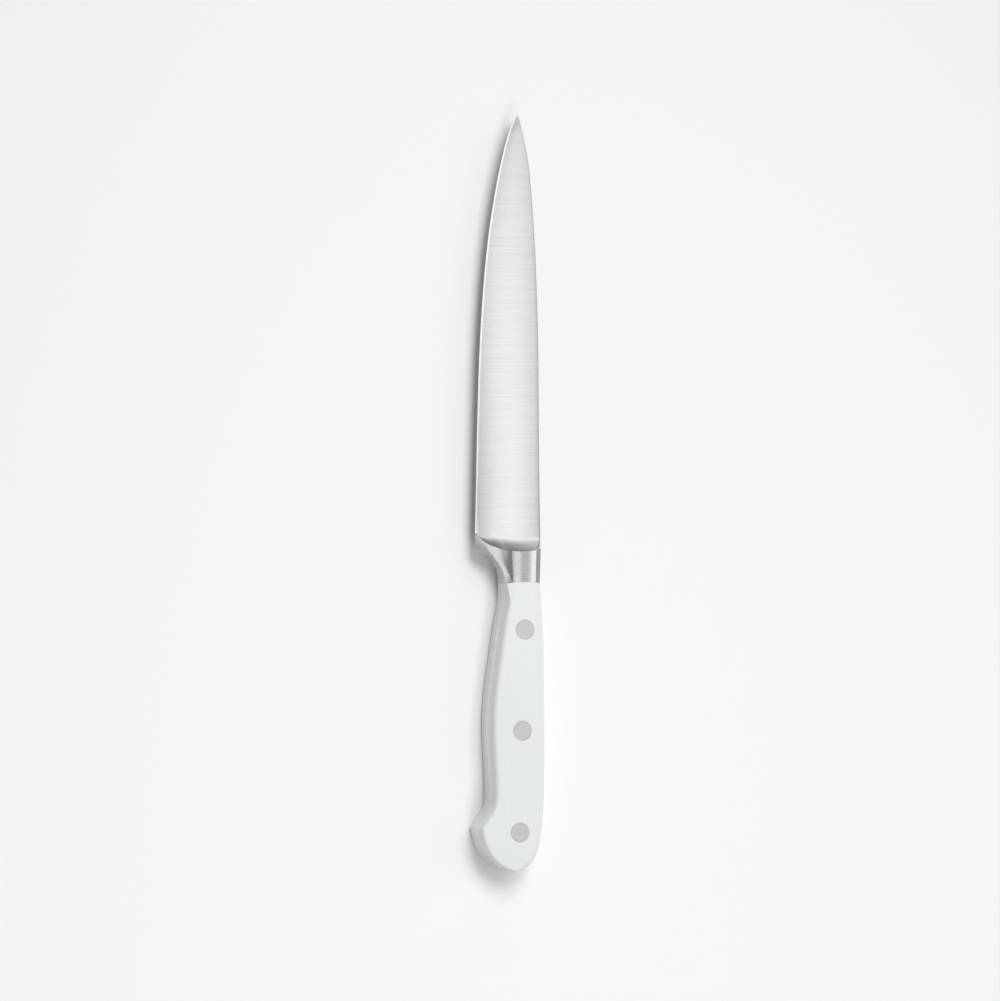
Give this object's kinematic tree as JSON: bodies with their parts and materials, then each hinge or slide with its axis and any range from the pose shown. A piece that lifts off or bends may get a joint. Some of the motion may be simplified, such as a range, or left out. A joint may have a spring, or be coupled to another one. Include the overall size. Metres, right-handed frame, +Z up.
{
  "type": "kitchen utility knife",
  "caption": "Forged kitchen utility knife with a slim pointed blade, a full bolster and a full tang held between two riveted white handle scales.",
  "frame": {"origin": "under the middle of the knife's outline, on the surface that it lies on", "axes": "+Y from the butt to the tip, -X towards the cutting edge, +X towards the spine, +Z up out of the left face"},
  "size_m": [0.0256, 0.28, 0.014],
  "materials": {
    "blade_steel": "finely ground across the blade, satin on the bolster",
    "white_scale": "satin-polished cool white",
    "rivet_steel": "satin, ground flush along the handle"
  },
  "bodies": {
    "root": {"forged_blade": "blade_steel", "left_scale": "white_scale", "right_scale": "white_scale", "front_rivet_sleeve": "rivet_steel", "middle_rivet_sleeve": "rivet_steel", "rear_rivet_sleeve": "rivet_steel", "front_rivet_pin": "rivet_steel", "middle_rivet_pin": "rivet_steel", "rear_rivet_pin": "rivet_steel"}
  },
  "joints": []
}
